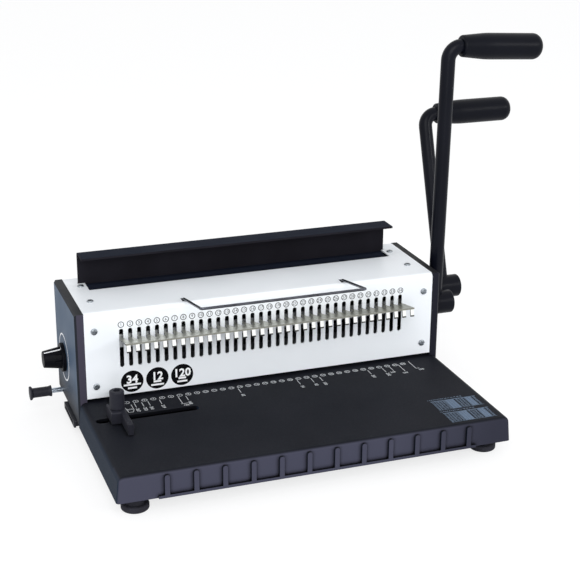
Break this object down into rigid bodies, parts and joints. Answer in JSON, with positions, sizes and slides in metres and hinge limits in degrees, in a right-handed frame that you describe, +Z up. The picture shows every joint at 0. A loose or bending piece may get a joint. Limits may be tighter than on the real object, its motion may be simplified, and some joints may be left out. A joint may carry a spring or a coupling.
{
  "type": "wire binding machine",
  "caption": "Desk-top machine that punches a row of square holes in paper and closes wire combs, with side levers, a size dial, an edge guide and a chip tray.",
  "frame": {"origin": "on the ground under the feet, midway along and across the whole machine, levers included", "axes": "+X to the right along the row of slots, towards the levers; +Y to the rear; +Z up"},
  "size_m": [0.5404, 0.3108, 0.3532],
  "materials": {
    "moulded_base": "fine texture",
    "black_coat": "satin powder coat",
    "white_coat": "satin powder coat",
    "black_rod": "semi-gloss coat",
    "black_grip": "satin",
    "black_knob": "satin",
    "rubber_foot": "matte",
    "bright_steel": "polished",
    "nickel": "satin nickel",
    "steel": "ground",
    "tool_steel": "ground",
    "bronze": "turned",
    "zinc": "zinc plated",
    "grey_tray": "fine texture"
  },
  "bodies": {
    "chassis": {"base_moulding": "moulded_base", "bottom_plate": "black_coat", "feet": "rubber_foot", "foot_screws": "zinc", "rear_crossbar": "zinc", "left_side_plate": "black_coat", "right_side_plate": "black_coat", "front_top_cover": "white_coat", "rear_cover": "white_coat", "cover_brackets": "zinc", "cover_screws": "zinc", "rear_screws": "zinc", "die_plate": "tool_steel", "punch_guide_plate": "tool_steel", "throat_spacers": "steel", "closing_anvil": "black_coat", "dial_bush": "bronze", "rod_guide": "zinc", "tray_runners": "zinc", "wire_comb": "nickel", "comb_rail": "steel", "comb_clamp": "zinc", "bail_brackets": "zinc", "punch_bushes": "bronze", "punch_spring": "steel", "closing_bushes": "bronze", "closing_spring": "steel"},
    "punch_handle": {"punch_shaft": "steel", "punch_eccentrics": "steel", "punch_hub": "black_coat", "punch_lever": "black_rod", "punch_grip": "black_grip", "punch_hub_cap": "black_knob"},
    "punch_bar": {"punch_beam": "steel", "punch_pins": "tool_steel", "punch_yokes": "steel"},
    "closing_handle": {"closing_shaft": "steel", "closing_eccentrics": "steel", "closing_hub": "black_coat", "closing_lever": "black_rod", "closing_grip": "black_grip", "closing_hub_cap": "black_knob"},
    "closer": {"closer_channel": "black_coat", "closer_lifters": "steel", "stop_lug": "steel"},
    "size_dial": {"dial_knob": "black_knob", "dial_shaft": "steel", "gap_cam": "steel"},
    "margin_pull": {"margin_rod": "bright_steel", "margin_knob": "black_knob"},
    "depth_gauge": {"back_gauge": "zinc"},
    "tray": {"chip_tray": "grey_tray"},
    "edge_guide": {"guide_block": "black_knob", "guide_nut": "zinc"},
    "clamp_knob": {"guide_knob": "black_knob", "guide_stud": "zinc"},
    "bail": {"wire_bail": "bright_steel"}
  },
  "joints": [
    {"name": "punch_swing", "type": "hinge", "parent": "chassis", "child": "punch_handle", "pos_m": [-0.0552, 0.04273, 0.0779], "axis": [1, 0, 0], "range_deg": [0, 80], "stiffness_Nm_per_rad": 0.8, "springref_deg": -34.38},
    {"name": "beam_stroke", "type": "slide", "parent": "chassis", "child": "punch_bar", "axis": [0, 0, -1], "range_m": [0, 0.00836]},
    {"name": "closing_swing", "type": "hinge", "parent": "chassis", "child": "closing_handle", "pos_m": [-0.0552, 0.08383, 0.0779], "axis": [1, 0, 0], "range_deg": [0, 100], "stiffness_Nm_per_rad": 0.4, "springref_deg": -34.38},
    {"name": "closer_stroke", "type": "slide", "parent": "chassis", "child": "closer", "axis": [0, 0, -1], "range_m": [0, 0.01839]},
    {"name": "dial_turn", "type": "hinge", "parent": "chassis", "child": "size_dial", "pos_m": [-0.2452, 0.06383, 0.0613], "axis": [-1, 0, 0], "range_deg": [0, 270]},
    {"name": "rod_pull", "type": "slide", "parent": "chassis", "child": "margin_pull", "axis": [-1, 0, 0], "range_m": [0, 0.01]},
    {"name": "gauge_shift", "type": "slide", "parent": "chassis", "child": "depth_gauge", "axis": [0, 1, 0], "range_m": [0, 0.004]},
    {"name": "tray_slide", "type": "slide", "parent": "chassis", "child": "tray", "axis": [-1, 0, 0], "range_m": [0, 0.3]},
    {"name": "guide_slide", "type": "slide", "parent": "chassis", "child": "edge_guide", "axis": [1, 0, 0], "range_m": [-0.009, 0.065]},
    {"name": "knob_turn", "type": "hinge", "parent": "edge_guide", "child": "clamp_knob", "pos_m": [-0.2106, -0.04247, 0.0525], "axis": [0, 0, 1], "range_deg": [0, 180]},
    {"name": "bail_swing", "type": "hinge", "parent": "chassis", "child": "bail", "pos_m": [-0.0535, 0.00823, 0.1223], "axis": [-1, 0, 0], "range_deg": [0, 75]}
  ],
  "couplings": [
    {"joint": "beam_stroke", "follows": "punch_swing", "m_per_rad": 0.0059847},
    {"joint": "closer_stroke", "follows": "closing_swing", "m_per_rad": 0.010534},
    {"joint": "gauge_shift", "follows": "rod_pull", "ratio": 0.4}
  ]
}
